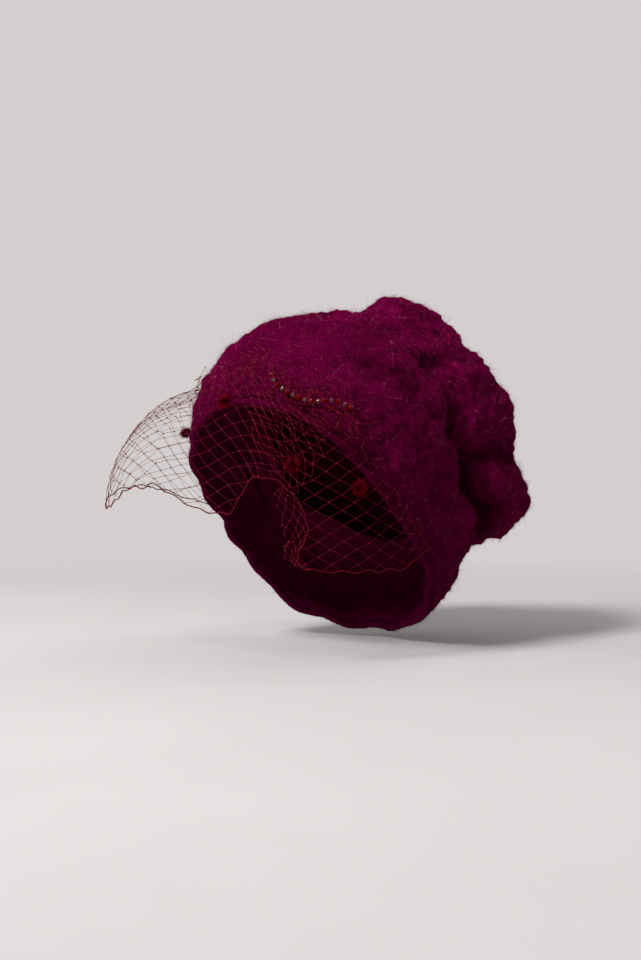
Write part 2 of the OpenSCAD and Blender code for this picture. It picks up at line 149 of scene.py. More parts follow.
def reach(d, inset=0.0, folds=True):
    """Distance from CENTRE to the knit's outer skin in the directions d."""
    out = []
    for c, s in FORMS:
        s = np.array(s, float) - inset
        o = (CENTRE - np.array(c, float)) / s
        v = d / s
        a = (v * v).sum(-1)
        b = (v * o).sum(-1)
        cc = (o * o).sum() - 1
        out.append((-b + np.sqrt(np.maximum(b * b - a * cc, 0))) / a)
    e = np.array(out)
    top = e.max(0)
    r = top + CREASE * np.log(np.exp((e - top) / CREASE).sum(0))
    f = 0
    for p, q, share, wide in FOLDS if folds else []:
        a = unit(np.array(p, float) - CENTRE)
        b = unit(np.array(q, float) - CENTRE)
        ab = b - a
        t = np.clip(((d - a) @ ab) / (ab @ ab), 0, 1)
        g = np.linalg.norm(d - a - t[..., None] * ab, axis=-1) * r / wide
        f = f + share * FOLD_DEPTH * np.exp(-g * g) * smooth(3 * np.minimum(t + 0.15, 1.15 - t))
    return r - f + lump_at(CENTRE + d * r[..., None])


def hem_z(p):
    return (HEM_NAPE + (HEM_FRONT - HEM_NAPE) * (1 + cosd(p)) / 2 - EAR_DIP * sind(p) ** 4
            - HEM_LOBE * np.maximum(0, -cosd(p)) * sind(p) ** 2)


def hem_dir(p):
    k = 1 - NAPE_DRAW * (1 - cosd(180 * np.clip((abs(p) - 72) / 80, 0, 1))) / 2
    return unit(np.stack([k * CAP_W / 2 * .91 * sind(p), k * CAP_L * (-0.025 - 0.465 * cosd(p)),
                          hem_z(p)], -1) - CENTRE)


def tuck_dir(p):
    return unit(np.stack([
        CAP_W / 2 * sind(p),
        CAP_L * (0.245 - 0.18 * cosd(p) - 0.137 * sind(p) ** 2 * (1 + 0.35 * cosd(p))
                 - 0.07 * np.exp(-((abs(p) - 112) / 22) ** 2)),
        CAP_TOP * (0.225 + 0.785 * cosd(p))], -1) - CENTRE)


def tuck_at(p):
    return TUCK_DEPTH * (0.3 + 0.7 * smooth((abs(p) - 60) / 55))


def turn(a, b, t):
    """Direction at a share t of the way from a to b, round CENTRE."""
    w = np.arccos(np.clip((a * b).sum(-1), -1, 1))[..., None]
    t = np.asarray(t)[..., None]
    return (a * np.sin((1 - t) * w) + b * np.sin(t * w)) / np.sin(w)


def knit_at(p, v, inset=0.0):
    """Point of the knit at an angle p, v from 0 at the hem by 1 at the tuck to 2 at the crown."""
    p, v = np.broadcast_arrays(np.asarray(p, float), np.asarray(v, float))
    low = turn(hem_dir(p), tuck_dir(p), np.minimum(v, 1))
    high = turn(tuck_dir(p), unit(CROWN) * np.ones(p.shape + (1,)), np.maximum(v - 1, 0))
    d = unit(np.where((v <= 1)[..., None], low, high))
    r = reach(d, inset)
    x = np.arccos(np.clip((d * tuck_dir(p)).sum(-1), -1, 1)) * r / TUCK_W
    return CENTRE + d * (r - tuck_at(p) * np.exp(-x * x))[..., None]


def on_knit(p, gap):
    d = unit(np.asarray(p, float) - CENTRE)
    return CENTRE + d * (reach(d) + gap)[..., None]


def waves(p, size, count, seed):
    """Smooth seeded noise of about that wavelength, mostly between -1 and 1."""
    rng = np.random.default_rng(seed)
    k = unit(rng.normal(size=(count, 3))) * (2 * np.pi / size) * rng.uniform(0.6, 1.5, (count, 1))
    ph = rng.uniform(0, 2 * np.pi, count)
    out = np.zeros(p.shape[:-1])
    for i in range(count):
        out += np.sin(p @ k[i] + ph[i])
    return out / math.sqrt(count) * 0.9


def push(p, size, count, seed):
    """The same noise as a push in x, y and z."""
    return np.stack([waves(p, size, count, seed + k) for k in range(3)], -1)


def run_of(points):
    """Length along a line up to each of its points."""
    return np.concatenate([[0], np.cumsum(np.linalg.norm(np.diff(points, axis=0), axis=-1))])


def at_run(s, run, points):
    """Points of a line at the lengths s."""
    return np.stack([np.interp(s, run, points[:, k]) for k in range(3)], -1)


def between(a, b, c, d, t):
    """Point at t between b and c on the smooth curve through a, b, c and d."""
    return 0.5 * (2 * b + (c - a) * t + (2 * a - 5 * b + 4 * c - d) * t * t
                  + (3 * b - a - 3 * c + d) * t ** 3)


# -------------------- meshes and materials
def new_mesh(name, verts, faces, body, slot, material, flat=False, ride=True, painted_shade=None):
    """faces: an (n, k) array or a list of such; verts in mm; the last argument, 0 to 1, is painted shade that
    darkens the folds.
    """
    verts = np.asarray(verts, np.float32).reshape(-1, 3) * MM
    groups = faces if isinstance(faces, list) else [faces]
    groups = [np.asarray(g, np.int32) for g in groups if len(g)]
    mesh = bpy.data.meshes.new(name)
    mesh.vertices.add(len(verts))
    mesh.vertices.foreach_set("co", verts.ravel())
    loops = np.concatenate([g.ravel() for g in groups])
    sizes = np.concatenate([np.full(len(g), g.shape[1], np.int32) for g in groups])
    starts = np.concatenate([[0], np.cumsum(sizes)[:-1]]).astype(np.int32)
    mesh.loops.add(len(loops))
    mesh.loops.foreach_set("vertex_index", loops)
    mesh.polygons.add(len(sizes))
    mesh.polygons.foreach_set("loop_start", starts)
    mesh.polygons.foreach_set("use_smooth", np.full(len(sizes), not flat))
    if painted_shade is not None:
        values = mesh.attributes.new("painted_shade", "FLOAT", "POINT").data
        values.foreach_set("value", np.asarray(painted_shade, np.float32))
    mesh.update(calc_edges=True)
    mesh.validate()
    obj = bpy.data.objects.new(name, mesh)
    bpy.context.scene.collection.objects.link(obj)
    mesh.materials.append(material)
    if ride:
        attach(obj, body)
    return obj


def tubes(paths, radius, sides=5, closed=False):
    """Many tubes of one point count as one mesh: paths is (n, k, 3), radius a number or (n, k)."""
    paths = np.asarray(paths, float)
    n, k, _ = paths.shape
    rad = np.broadcast_to(np.asarray(radius, float), (n, k))
    if closed:
        t = np.roll(paths, -1, 1) - np.roll(paths, 1, 1)
    else:
        t = np.empty_like(paths)
        t[:, 1:-1] = paths[:, 2:] - paths[:, :-2]
        t[:, 0] = paths[:, 1] - paths[:, 0]
        t[:, -1] = paths[:, -1] - paths[:, -2]
    t = unit(t)
    out = paths - CENTRE
    side = unit(np.cross(t, out))
    up = np.cross(side, t)
    a = np.arange(sides) * 2 * np.pi / sides
    ring = circle(side[:, :, None], up[:, :, None], a)
    verts = (paths[:, :, None] + rad[:, :, None, None] * ring).reshape(-1, 3)
    base = (np.arange(n) * k * sides)[:, None, None]
    steps = np.arange(k if closed else k - 1)
    i = steps[None, :, None] * sides
    j = ((steps[None, :, None] + 1) % k) * sides
    m = np.arange(sides)[None, None, :]
    m2 = (m + 1) % sides
    quads = np.stack([base + i + m, base + j + m, base + j + m2, base + i + m2], -1).reshape(-1, 4)
    if closed:
        return verts, [quads]
    first = base[:, 0] + np.arange(sides)[None, :]
    last = base[:, 0] + (k - 1) * sides + np.arange(sides)[None, ::-1]
    if sides == 4:
        return verts, [np.concatenate([quads, first, last])]
    return verts, [quads, np.concatenate([first, last])]


def ribbons(root, direction, bend, length, width, seed, points=4, taper=0.8):
    """Fine tapered fibres: n roots, unit directions, bend vectors, lengths and widths in mm."""
    rng = np.random.default_rng(seed)
    n = len(root)
    t = np.linspace(0, 1, points)[None, :, None]
    p = root[:, None] + length[:, None, None] * (t * direction[:, None] + t * t * bend[:, None])
    side = unit(np.cross(direction, unit(rng.normal(size=(n, 3)))))
    w = width[:, None, None] * 0.5 * (1 - taper * t)
    verts = np.stack([p - side[:, None] * w, p + side[:, None] * w], 2).reshape(-1, 3)
    base = (np.arange(n) * points * 2)[:, None]
    k = (np.arange(points - 1) * 2)[None, :]
    a = base + k
    return verts, np.stack([a, a + 1, a + 3, a + 2], -1).reshape(-1, 4)


def nodes_of(name):
    m = bpy.data.materials.new(name)
    m.use_nodes = True
    nt = m.node_tree
    return m, nt, nt.nodes["Principled BSDF"]


def put(nt, node, inputs):
    """Sets a node's inputs, by name or number, to values, or links them to sockets."""
    for key, value in inputs.items():
        if isinstance(value, bpy.types.NodeSocket):
            nt.links.new(value, node.inputs[key])
        else:
            node.inputs[key].default_value = value
    return node


def add(nt, kind, inputs, **settings):
    """A new shader node with these inputs and settings."""
    made = nt.nodes.new("ShaderNode" + kind)
    for key, value in settings.items():
        setattr(made, key, value)
    return put(nt, made, inputs)


def ramp(nt, fac, stops):
    r = add(nt, "ValToRGB", {"Fac": fac})
    while len(r.color_ramp.elements) < len(stops):
        r.color_ramp.elements.new(0.5)
    for e, (at, c) in zip(r.color_ramp.elements, stops):
        e.position = at
        e.color = (*c, 1)
    return r.outputs["Color"]


def noise(nt, scale, detail=3.0, rough=0.55, stretch=None, distort=0.0):
    place = nt.nodes.new("ShaderNodeTexCoord").outputs["Object"]
    if stretch:
        place = add(nt, "Mapping", {"Vector": place, "Scale": stretch}).outputs["Vector"]
    return add(nt, "TexNoise", {"Vector": place, "Scale": scale, "Detail": detail, "Roughness": rough,
                                "Distortion": distort}).outputs["Fac"]


def bump(nt, bsdf, height, strength, distance):
    made = add(nt, "Bump", {"Strength": strength, "Distance": distance, "Height": height})
    put(nt, bsdf, {"Normal": made.outputs["Normal"]})


def times(nt, a, b):
    """Two colours multiplied; the node's colours are its inputs 6 and 7."""
    return add(nt, "Mix", {0: 1.0, 6: a, 7: b}, data_type="RGBA", blend_type="MULTIPLY").outputs[2]


def with_painted_shade(nt, colour):
    """Painted shade: the colour made darker and redder down in the folds, and a little lighter out of them.
    """
    depth = add(nt, "Attribute", {}, attribute_name="painted_shade").outputs["Fac"]
    return times(nt, colour, ramp(nt, depth, [(0.0, (1.20, 1.20, 1.22)), (0.35, (0.80, 0.80, 0.74)),
                                              (0.9, (0.16, 0.16, 0.08))]))


def knit_material(name, dark, mid, light):
    m, nt, b = nodes_of(name)
    streak = noise(nt, 520, 4.0, 0.65, (1.0, 0.45, 0.8), 1.6)
    yarn = ramp(nt, streak, [(0.30, dark), (0.5, mid), (0.72, light)])
    broad = ramp(nt, noise(nt, 28, 2.0, 0.5), [(0.3, (0.75, 0.75, 0.75)), (0.7, (1.1, 1.1, 1.2))])
    put(nt, b, {"Base Color": with_painted_shade(nt, times(nt, yarn, broad)), "Roughness": 1.0,
                "Specular IOR Level": 0.0, "Sheen Weight": 0.06, "Sheen Roughness": 0.5,
                "Sheen Tint": (0.60, 0.01, 0.30, 1)})
    bump(nt, b, noise(nt, 800, 5.0, 0.7, (1.0, 0.6, 0.8), 1.2), 0.9, 0.0015)
    return m


def fibre_material(name, stops, through=0.35, sheen=0.04, tint=(0.8, 0.01, 0.35, 1)):
    m, nt, b = nodes_of(name)
    each = nt.nodes.new("ShaderNodeNewGeometry").outputs["Random Per Island"]
    tuft = ramp(nt, noise(nt, 330, 2.0, 0.6), [(0.36, (0.40, 0.40, 0.36)), (0.62, (1.25, 1.25, 1.3))])
    colour = with_painted_shade(nt, times(nt, ramp(nt, each, stops), tuft))
    put(nt, b, {"Base Color": colour, "Roughness": 0.7, "Specular IOR Level": 0.03,
                "Specular Tint": (1.0, 0.15, 0.45, 1), "Sheen Weight": sheen, "Sheen Tint": tint})
    if through:
        lit = add(nt, "BsdfTranslucent", {"Color": colour})
        both = add(nt, "MixShader", {"Fac": through, 1: b.outputs["BSDF"], 2: lit.outputs["BSDF"]})
        put(nt, nt.nodes["Material Output"], {"Surface": both.outputs["Shader"]})
    return m


def strand_material(name, dark, light, rough=0.55):
    m, nt, b = nodes_of(name)
    put(nt, b, {"Base Color": ramp(nt, noise(nt, 900, 3.0, 0.6), [(0.3, dark), (0.7, light)]),
                "Roughness": rough, "Specular IOR Level": 0.06, "Specular Tint": (1.0, 0.4, 0.4, 1)})
    bump(nt, b, noise(nt, 2500, 2.0), 0.4, 0.0002)
    return m


def glass_material(name, colour, through, shine, tint, rough):
    m, nt, b = nodes_of(name)
    dark = tuple(0.5 * c for c in colour)
    put(nt, b, {"Base Color": ramp(nt, noise(nt, 600, 2.0), [(0.2, dark), (0.8, colour)]),
                "Roughness": rough, "IOR": 1.5, "Specular Tint": (*tint, 1),
                "Specular IOR Level": shine, "Transmission Weight": through})
    return m


M_KNIT = knit_material("mohair_knit", (0.030, 0.0002, 0.006), (0.085, 0.0005, 0.021), (0.165, 0.0010, 0.048))
# a darker copy of the knit's colours: painted shade on the rolled rim; the crown's ring and knot use it too
M_YARN_SHADED = knit_material("mohair_yarn", (0.022, 0.0002, 0.004), (0.056, 0.0004, 0.014), (0.095, 0.0008, 0.028))
M_FUZZ = fibre_material("mohair_fuzz", [(0.0, (0.036, 0.0003, 0.008)), (0.5, (0.118, 0.0006, 0.031)),
                                        (1.0, (0.29, 0.003, 0.102))])
M_GLINT = fibre_material("mohair_glint", [(0.0, (0.26, 0.006, 0.075)), (0.6, (0.44, 0.030, 0.110)),
                                          (1.0, (0.74, 0.20, 0.20))], 0.2)
M_NET = strand_material("netting_strand", (0.085, 0.002, 0.008), (0.170, 0.005, 0.020))
M_KNOT = strand_material("netting_knot", (0.130, 0.006, 0.018), (0.240, 0.016, 0.038))
M_BORDER = strand_material("border_cord", (0.060, 0.001, 0.004), (0.130, 0.003, 0.011))
M_THREAD = strand_material("sewing_thread", (0.060, 0.002, 0.007), (0.110, 0.005, 0.015))
M_CHENILLE = fibre_material("chenille_pile", [(0.0, (0.025, 0.0003, 0.0015)), (0.6, (0.115, 0.0010, 0.004)),
                                              (1.0, (0.30, 0.005, 0.011))], 0.0, 0.03, (0.9, 0.05, 0.05, 1))
M_CORE = strand_material("chenille_core", (0.014, 0.0002, 0.0006), (0.040, 0.0006, 0.0012), 0.9)
M_RED = glass_material("bead_red_glass", (0.120, 0.0006, 0.0015), 0.0, 0.20, (1.0, 0.10, 0.08), 0.18)
M_CLEAR = glass_material("bead_crystal_glass", (0.50, 0.16, 0.20), 0.85, 0.6, (1.0, 0.75, 0.75), 0.05)

# -------------------- camera, light and floor
AZ = math.radians(35)
LENS, SENSOR, DISTANCE, ASIDE = 46.875, 36, 0.85, 0.01122
RIGHT = Vector((math.cos(AZ), math.sin(AZ), 0))
TOWARDS = Vector((math.sin(AZ), -math.cos(AZ), 0))
cam = bpy.data.cameras.new("camera")
cam.lens = LENS
cam.sensor_width = SENSOR
cam.sensor_fit = "AUTO"
cam_obj = bpy.data.objects.new("camera", cam)
bpy.context.scene.collection.objects.link(cam_obj)
place = TOWARDS * DISTANCE - RIGHT * ASIDE
rot = Matrix((RIGHT, Vector((0, 0, 1)), TOWARDS)).transposed().to_4x4()
cam_obj.matrix_world = Matrix.Translation(place) @ rot
bpy.context.scene.camera = cam_obj


def lamp(name, at, aim, size, power):
    d = bpy.data.lights.new(name, "AREA")
    d.shape = "DISK"
    d.size = size
    d.energy = power
    o = bpy.data.objects.new(name, d)
    o.location = at
    o.rotation_euler = (Vector(aim) - Vector(at)).to_track_quat("-Z", "Y").to_euler()
    bpy.context.scene.collection.objects.link(o)


lamp("key", (-0.25, -1.40, 1.45), (0, 0, 0.02), 0.6, 55)
lamp("fill", (-1.5, -0.6, 0.6), (0, 0, 0), 1.2, 9)
lamp("back", (0.4, 1.7, 1.3), (0, 0.05, 0.03), 1.0, 9)

BACKDROP = (0.66, 0.62, 0.62, 1)
SOFT_LIGHT, SOFT_POWER = (0.86, 0.84, 0.84, 1), 0.31
world = bpy.data.worlds.new("studio")
bpy.context.scene.world = world
world.use_nodes = True
wn = world.node_tree
# the camera, clear glass and reflections see the backdrop; the object is lit by the soft light
light = put(wn, wn.nodes["Background"], {"Color": SOFT_LIGHT, "Strength": SOFT_POWER})
seen = add(wn, "Background", {"Color": BACKDROP, "Strength": 1.0})
rays = wn.nodes.new("ShaderNodeLightPath").outputs
through = add(wn, "Math", {0: rays["Is Camera Ray"], 1: rays["Is Transmission Ray"]}, operation="MAXIMUM")
sees = add(wn, "Math", {0: through.outputs[0], 1: rays["Is Glossy Ray"]}, operation="MAXIMUM")
sky = add(wn, "MixShader", {"Fac": sees.outputs[0], 1: light.outputs[0], 2: seen.outputs[0]})
put(wn, wn.nodes["World Output"], {"Surface": sky.outputs[0]})
bpy.context.scene.view_settings.view_transform = "Standard"

FLOOR_R, FLOOR_SIDES, FLOOR_GAP, FADE_FROM, FADE_TO = 6, 64, 0.006, 0.22, 1.0
m_floor, fn, fb = nodes_of("floor_pale")
pale = ramp(fn, noise(fn, 6, 3.0), [(0.3, (0.49, 0.46, 0.46)), (0.7, (0.52, 0.49, 0.49))])
put(fn, fb, {"Base Color": pale, "Roughness": 0.8})
# away from the object the floor fades into the backdrop's own colour
spot = fn.nodes.new("ShaderNodeTexCoord").outputs["Object"]
away = add(fn, "VectorMath", {0: spot}, operation="LENGTH").outputs["Value"]
fading = add(fn, "MapRange", {"From Min": FADE_FROM, "From Max": FADE_TO, "Value": away},
             interpolation_type="SMOOTHSTEP")
glow = add(fn, "Emission", {"Color": BACKDROP})
faded = add(fn, "MixShader", {"Fac": fading.outputs["Result"], 1: fb.outputs["BSDF"],
                              2: glow.outputs["Emission"]})
put(fn, fn.nodes["Material Output"], {"Surface": faded.outputs["Shader"]})
floor_mesh = bpy.data.meshes.new("floor")
floor_z = cad_box[0][2] - FLOOR_GAP
corners = [(FLOOR_R * math.cos(a), FLOOR_R * math.sin(a), floor_z)
           for a in np.linspace(0, 2 * np.pi, FLOOR_SIDES, endpoint=False)]
floor_mesh.from_pydata(corners, [], [list(range(FLOOR_SIDES))])
floor_mesh.materials.append(m_floor)
floor = bpy.data.objects.new("floor", floor_mesh)
bpy.context.scene.collection.objects.link(floor)

# -------------------- knitted cap
NPHI, NFIT, NSLOUCH, NIN = 340, 92, 150, (34, 56)
CABLE_TWIST, CABLE_SWING, CABLE_W, PLEATS = 34, 0.20, 0.17, 20
SUNK_L, RIM_TURN = 9, 1.2


def columns(n):
    a = 360 * np.arange(n) / n - 180
    return a + 20 * sind(a)


def rows(nf, ns):
    return np.concatenate([np.arange(nf) / nf, 1 + np.arange(ns) / ns])


def normals_of(g):
    du = np.roll(g, -1, 1) - np.roll(g, 1, 1)
    dv = np.gradient(g, axis=0)
    n = unit(np.cross(du, dv))
    return n * np.sign(((g - CENTRE) * n).sum(-1, keepdims=True))


PHI, V = np.meshgrid(columns(NPHI), rows(NFIT, NSLOUCH))
G = knit_at(PHI, V)
N0 = normals_of(G)
# the corners of the form are rounded by averaging the normals over the neighbourhood
for _ in range(4):
    N0 = unit(N0 + np.roll(N0, 1, 1) + np.roll(N0, -1, 1) + np.vstack([N0[1:], N0[-1:]])
              + np.vstack([N0[:1], N0[:-1]]))
down = np.concatenate([np.zeros((1, NPHI)), np.cumsum(np.linalg.norm(np.diff(G, axis=0), axis=-1), 0)])
across = np.linalg.norm(np.roll(G, -1, 1) - G, axis=-1)

# soft cables run from the hem to the crown's middle
col = np.arange(NPHI) / NPHI * CABLES
u = (col - np.floor(col) - 0.5)[None, :] * 2
cable_no = np.floor(col)[None, :]
girth = np.minimum(across * NPHI / CABLES, 40)
x_mm = u * girth / 2
phase = 2 * np.pi * (down / CABLE_TWIST + 0.37 * cable_no) + 0.8 * waves(G, 90, 10, 5)
swing = girth * CABLE_SWING * np.cos(phase)
strand_1 = np.exp(-((x_mm - swing) / (girth * CABLE_W + 0.5)) ** 2)
strand_2 = np.exp(-((x_mm + swing) / (girth * CABLE_W + 0.5)) ** 2)
cable = np.maximum(strand_1 * (0.78 + 0.3 * np.sin(phase)), strand_2 * (0.78 - 0.3 * np.sin(phase)))
fade = smooth(V * 14) * smooth((2 - V) / 0.22) * smooth((girth - 4) / 12)
pleat = np.cos(2 * np.pi * PLEATS * (np.arange(NPHI) / NPHI))[None, :] * np.exp(-((2 - V) / 0.16) ** 2)
relief = ((CABLE_H * cable * smooth((V - 0.6) / 0.35) + 1.1 * (cable - 0.4)) * fade
          + 0.6 * waves(G, 22, 26, 11) * smooth(V * 6) + 0.7 * waves(G, 10, 40, 12) * smooth(V * 20)
          + 0.55 * waves(G, 5, 60, 13) + 0.9 * pleat)
# the hem's rim turns in softly
relief = relief - RIM_TURN * np.exp(-(down / 2.2) ** 2)
GO = G + N0 * relief[..., None]
# painted shade: how deep in the folds each point lies, a little more in the hollows of the cables and at the
# hem; it darkens the knit's colour and its pile's
sunk = reach(unit(G - CENTRE), folds=False) - np.linalg.norm(G - CENTRE, axis=-1)
PAINTED_SHADE = np.clip(1 - np.exp(-np.maximum(sunk - 1, 0) / SUNK_L) + 0.10 * (0.9 - relief)
                 + 0.22 * np.exp(-(down / 16) ** 2), 0, 1)
pole = knit_at(np.array(0.0), np.array(2.0))[None] + unit(CROWN) * 0.4
GI = knit_at(*np.meshgrid(columns(NPHI // 2), rows(*NIN)), KNIT_T)
GI = GI - unit(GI - CENTRE) * (0.5 + 0.5 * waves(GI, 12, 30, 21))[..., None]
pole_in = knit_at(np.array(0.0), np.array(2.0), KNIT_T)[None]


def grid_quads(nr, nc, start=0, flip=False):
    j, i = np.meshgrid(np.arange(nr - 1), np.arange(nc), indexing="ij")
    m = (i + 1) % nc
    a, b = start + j * nc, start + (j + 1) * nc
    q = np.stack([a + i, b + i, b + m, a + m], -1).reshape(-1, 4)
    return q[:, ::-1] if flip else q


def cap_fan(start, nr, nc, apex, flip=False):
    i = np.arange(nc)
    last = start + (nr - 1) * nc
    t = np.stack([last + i, np.full(nc, apex), last + (i + 1) % nc], -1)
    return t[:, ::-1] if flip else t


nro, nri, nci = NFIT + NSLOUCH, sum(NIN), NPHI // 2
off = nro * NPHI + 1
i = np.arange(nci)
rim = np.concatenate([
    np.stack([2 * i, (2 * i + 1), off + i], -1),
    np.stack([2 * i + 1, (2 * i + 2) % NPHI, off + (i + 1) % nci], -1),
    np.stack([2 * i + 1, off + (i + 1) % nci, off + i], -1)])
verts = np.concatenate([GO.reshape(-1, 3), pole, GI.reshape(-1, 3), pole_in])
quads = np.concatenate([grid_quads(nro, NPHI), grid_quads(nri, nci, off, True)])
tris = np.concatenate([cap_fan(0, nro, NPHI, off - 1), cap_fan(off, nri, nci, off + nri * nci, True), rim])
painted_shade = np.concatenate([PAINTED_SHADE.ravel(), np.full(len(verts) - PAINTED_SHADE.size, 0.2)])
knit = new_mesh("knit_cap", verts, [quads, tris], CAP, "knit", M_KNIT, painted_shade=painted_shade)
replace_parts(knit, "knit_body")

# fibres: roots spread evenly over the outside by area
cell = np.linalg.norm(np.cross(np.roll(GO, -1, 1)[:-1] - GO[:-1], GO[1:] - GO[:-1]), axis=-1)
share = (cell / cell.sum()).ravel()
NG = normals_of(GO)
TV = unit(np.gradient(GO, axis=0))

# height of a row of stitches
ROW_H = 4.0


def roots(n, seed):
    rng = np.random.default_rng(seed)
    k = rng.choice(len(share), n, p=share)
    j, i = np.divmod(k, NPHI)
    a, b = rng.random((2, n, 1))
    i2 = (i + 1) % NPHI
    p = (GO[j, i] * (1 - a) * (1 - b) + GO[j, i2] * a * (1 - b) + GO[j + 1, i] * (1 - a) * b
         + GO[j + 1, i2] * a * b)
    nrm, tv = NG[j, i], TV[j, i]
    tu = np.cross(nrm, tv)
    # the pile is brushed in broad swirls
    ang = (2.2 * waves(p, 60, 12, 31) + 1.0 * waves(p, 22, 12, 32) + 0.9 * waves(p, 7, 30, 33)
           + rng.normal(0, 0.4, n))
    lay = circle(tv, tu, ang)
    # rows of stitches: painted shade makes the pile darker in the furrows between them
    row = (down[j, i] * (1 - b[:, 0]) + down[j + 1, i] * b[:, 0]) / ROW_H + 0.5 * waves(p, 30, 10, 35)
    furrow = np.sin(2 * np.pi * row) * (0.6 + 0.4 * waves(p, 18, 10, 36))
    return rng, p, nrm, lay, np.clip(PAINTED_SHADE[j, i] + 0.20 * furrow, 0, 1)


def fuzz(name, n, seed, lift, length, width, material, curl, sink=0.3, points=4):
    """n fibres: lift is the mean and spread of how far they stand off, length and width are ranges in mm."""
    rng, p, nrm, lay, painted_shade = roots(n, seed)
    up = rng.normal(*lift, n)[:, None]
    d = unit(lay + nrm * up)
    bend = unit(rng.normal(size=(n, 3))) * rng.uniform(0.1, curl, n)[:, None] - nrm * 0.25 * up
    lengths, widths = rng.uniform(*length, n), rng.uniform(*width, n)
    v, f = ribbons(p - nrm * sink, d, bend, lengths, widths, seed + 1, points)
    return new_mesh(name, v, f, CAP, "knit", material, painted_shade=np.repeat(painted_shade, 2 * points))


fuzz("mohair_pile_low", 45000, 41, (0.30, 0.14), (2.2, 4.6), (0.12, 0.24), M_FUZZ, 0.5, 0.2, 3)
fuzz("mohair_pile_mid", 33000, 43, (0.75, 0.30), (2.0, 4.2), (0.06, 0.12), M_FUZZ, 0.8)
fuzz("mohair_halo", 24000, 45, (1.3, 0.7), (3.0, 7.5), (0.06, 0.12), M_FUZZ, 1.3, 0.3, 5)
fuzz("mohair_glints", 15000, 47, (0.45, 0.30), (1.8, 5.4), (0.07, 0.13), M_GLINT, 1.8, 0.0, 7)

# rolled cast-on edge: short slanted wraps of yarn along the rim
HEM_N, WRAP_N, WRAP_L, FUZZ_N = 360, 14, 4.2, 9000
hem_phi = columns(HEM_N)
rim_mid = mix(knit_at(hem_phi, 0), knit_at(hem_phi, 0, KNIT_T), 0.5)
hem_down = unit(knit_at(hem_phi, 0) - knit_at(hem_phi, 0.12))
line = rim_mid + hem_down * 2.6
hem_t = unit(np.roll(line, -1, 0) - np.roll(line, 1, 0))
hem_o = unit(np.cross(hem_t, hem_down))
run = run_of(line)
a = np.linspace(0, 2 * np.pi, WRAP_N + 1)[:-1][None, :]
twist = 2 * np.pi * np.round(run[-1] / WRAP_L) * run[:, None] / (run[-1] + np.linalg.norm(line[0] - line[-1]))
rad = 2.15 + 0.35 * np.abs(np.sin(a + twist / 2)) + 0.2 * waves(line, 7, 30, 51)[:, None]
edge = line[:, None] + rad[..., None] * circle(hem_o[:, None], hem_down[:, None], a)
ring, spoke = np.meshgrid(np.arange(HEM_N), np.arange(WRAP_N), indexing="ij")
ring2, spoke2 = (ring + 1) % HEM_N * WRAP_N, (spoke + 1) % WRAP_N
ring = ring * WRAP_N
q = np.stack([ring + spoke, ring2 + spoke, ring2 + spoke2, ring + spoke2], -1).reshape(-1, 4)
hem = new_mesh("hem_roll", edge.reshape(-1, 3), q, CAP, "knit_edge", M_YARN_SHADED)
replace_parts(hem, "hem_edge")
rng = np.random.default_rng(53)
pick = rng.integers(0, HEM_N, FUZZ_N)
angle = rng.uniform(-2.9, 0.8, FUZZ_N)
er = edge[pick, (np.round((angle % (2 * np.pi)) / (2 * np.pi) * WRAP_N).astype(int)) % WRAP_N]
ed = unit(er - line[pick])
lay = hem_t[pick] * rng.choice([-1, 1], FUZZ_N)[:, None]
heading = unit(ed * rng.uniform(0.1, 1.0, (FUZZ_N, 1)) + lay + 0.5 * rng.normal(size=(FUZZ_N, 3)))
v, f = ribbons(er - ed * 0.2, heading, unit(rng.normal(size=(FUZZ_N, 3))) * 0.5, rng.uniform(2, 5, FUZZ_N),
               rng.uniform(0.09, 0.22, FUZZ_N), 54)
# the hem's fuzz is painted evenly darker: painted shade along the rim
new_mesh("hem_fuzz", v, f, CAP, "knit_edge", M_FUZZ, painted_shade=np.full(len(v), 0.55))

# drawn-together crown: a ring of twisted yarn and a small knot
A = unit(CROWN)
X = unit(np.cross(A, [0, 0, 1.0]))
Y = np.cross(A, X)
top_pt = knit_at(np.array(0.0), np.array(2.0))
th = np.linspace(0, 2 * np.pi, 73)[:-1]
ply = []
for k in (0, 1, 2):
    ph = th * 7 + k * 2 * np.pi / 3
    ply.append(top_pt + A * (1.9 + 0.8 * np.sin(ph))[:, None]
               + circle(X, Y, th) * (3.0 + 0.8 * np.cos(ph))[:, None])
v, f = tubes(np.array(ply), 0.95, 8, closed=True)
ringy = new_mesh("crown_yarn_ring", v, f, CAP, "knit_edge", M_YARN_SHADED)
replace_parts(ringy, "crown_gather")
kt = np.linspace(0, 2 * np.pi, 49)[:-1]
knot = (X * ((np.sin(kt) + 2 * np.sin(2 * kt)) * 0.62)[:, None]
        + Y * ((np.cos(kt) - 2 * np.cos(2 * kt)) * 0.62)[:, None]
        + A * (3.4 - np.sin(3 * kt) * 0.8)[:, None] + top_pt)
new_mesh("crown_yarn_knot", *tubes(knot[None], 0.8, 8, closed=True), CAP, "knit_edge", M_YARN_SHADED)

# -------------------- veil
FAR, NEAR, WING = -92.0, 76.0, -55.0
R_FRONT, R_WING, R_EAR, Z_NEAR, Z_FAR = 122.0, 156.0, 87.0, -56.0, -12.0
# CELL_W and CELL_H are half of a diamond's width and height; strands above LONGEST are left out
CELL_W, CELL_H, STRAND_R, KNOT_R, LONGEST = 8.2, 4.7, 0.13, 0.44, 12.5


def tack_z(p):
    high = np.where(p > 0, hem_z(p) + 6, HEM_FRONT + 6 - 26 * (p / FAR) ** 4)
    return high - 4 * np.exp(-((p - 24) / 12) ** 2)


